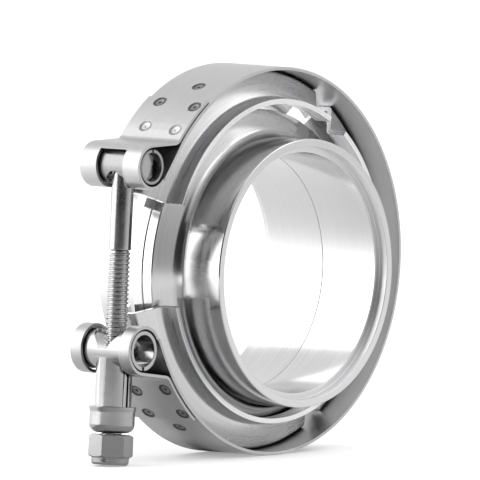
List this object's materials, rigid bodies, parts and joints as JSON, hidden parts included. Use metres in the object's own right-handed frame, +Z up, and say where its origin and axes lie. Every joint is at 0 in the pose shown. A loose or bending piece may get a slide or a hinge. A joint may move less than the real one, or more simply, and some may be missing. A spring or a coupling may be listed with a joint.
{
  "type": "v band clamp",
  "caption": "T-bolt V-band clamp holding a pair of round weld flanges, opened up, standing on its band and its nut.",
  "frame": {"origin": "middle of the flanges' through bore, at the joint between the two flanges", "axes": "+Y along the bore axis towards the rear flange, +Z up as the clamp stands, T-bolt on the -X side"},
  "size_m": [0.1206, 0.0446, 0.11],
  "materials": {
    "band_strip": "bright rolled stainless strip",
    "retainer_steel": "rolled and formed stainless sheet",
    "turned_steel": "finely turned stainless steel",
    "bolt_steel": "rolled thread, bright",
    "cup_steel": "turned, slightly satin",
    "nut_steel": "bright lock nut"
  },
  "bodies": {
    "root": {"outer_band": "band_strip", "back_retainer": "retainer_steel"},
    "upper_arm": {"upper_retainer": "retainer_steel"},
    "lower_arm": {"lower_retainer": "retainer_steel"},
    "flanges": {"front_flange": "turned_steel", "rear_flange": "turned_steel"},
    "t_bolt": {"t_bolt": "bolt_steel", "t_bolt_sleeve": "band_strip"},
    "trunnion": {"trunnion": "band_strip", "stem_cup": "cup_steel"},
    "nut": {"lock_nut": "nut_steel"}
  },
  "joints": [
    {"name": "flanges_centre", "type": "slide", "parent": "root", "child": "flanges", "axis": [0.7321, 0, 0.6812], "range_m": [0, 0.00395]},
    {"name": "upper_arm_close", "type": "hinge", "parent": "root", "child": "upper_arm", "pos_m": [0.032, 0, 0.04708], "axis": [0, -1, 0], "range_deg": [0, 5.5], "stiffness_Nm_per_rad": 12, "deforming": ["outer_band"]},
    {"name": "lower_arm_close", "type": "hinge", "parent": "root", "child": "lower_arm", "pos_m": [0.02685, 0, -0.04459], "axis": [0, 1, 0], "range_deg": [0, 5.4], "stiffness_Nm_per_rad": 12},
    {"name": "t_bolt_pivot", "type": "hinge", "parent": "upper_arm", "child": "t_bolt", "pos_m": [-0.05359, 0, 0.03288], "axis": [0, 1, 0], "range_deg": [0, 5.7]},
    {"name": "trunnion_pivot", "type": "hinge", "parent": "lower_arm", "child": "trunnion", "pos_m": [-0.05733, 0, -0.01909], "axis": [0, -1, 0], "range_deg": [0, 5.2]},
    {"name": "nut_turn", "type": "hinge", "parent": "trunnion", "child": "nut", "pos_m": [-0.05939, 0, -0.04777], "axis": [0.0718, 0, 0.9974], "range_deg": [0, 4530.06]}
  ],
  "couplings": [
    {"joint": "upper_arm_close", "follows": "flanges_centre", "rad_per_m": 24.295},
    {"joint": "lower_arm_close", "follows": "flanges_centre", "rad_per_m": 23.863},
    {"joint": "t_bolt_pivot", "follows": "flanges_centre", "rad_per_m": 25.198},
    {"joint": "trunnion_pivot", "follows": "flanges_centre", "rad_per_m": 22.96},
    {"joint": "nut_turn", "follows": "flanges_centre", "rad_per_m": 20010}
  ]
}
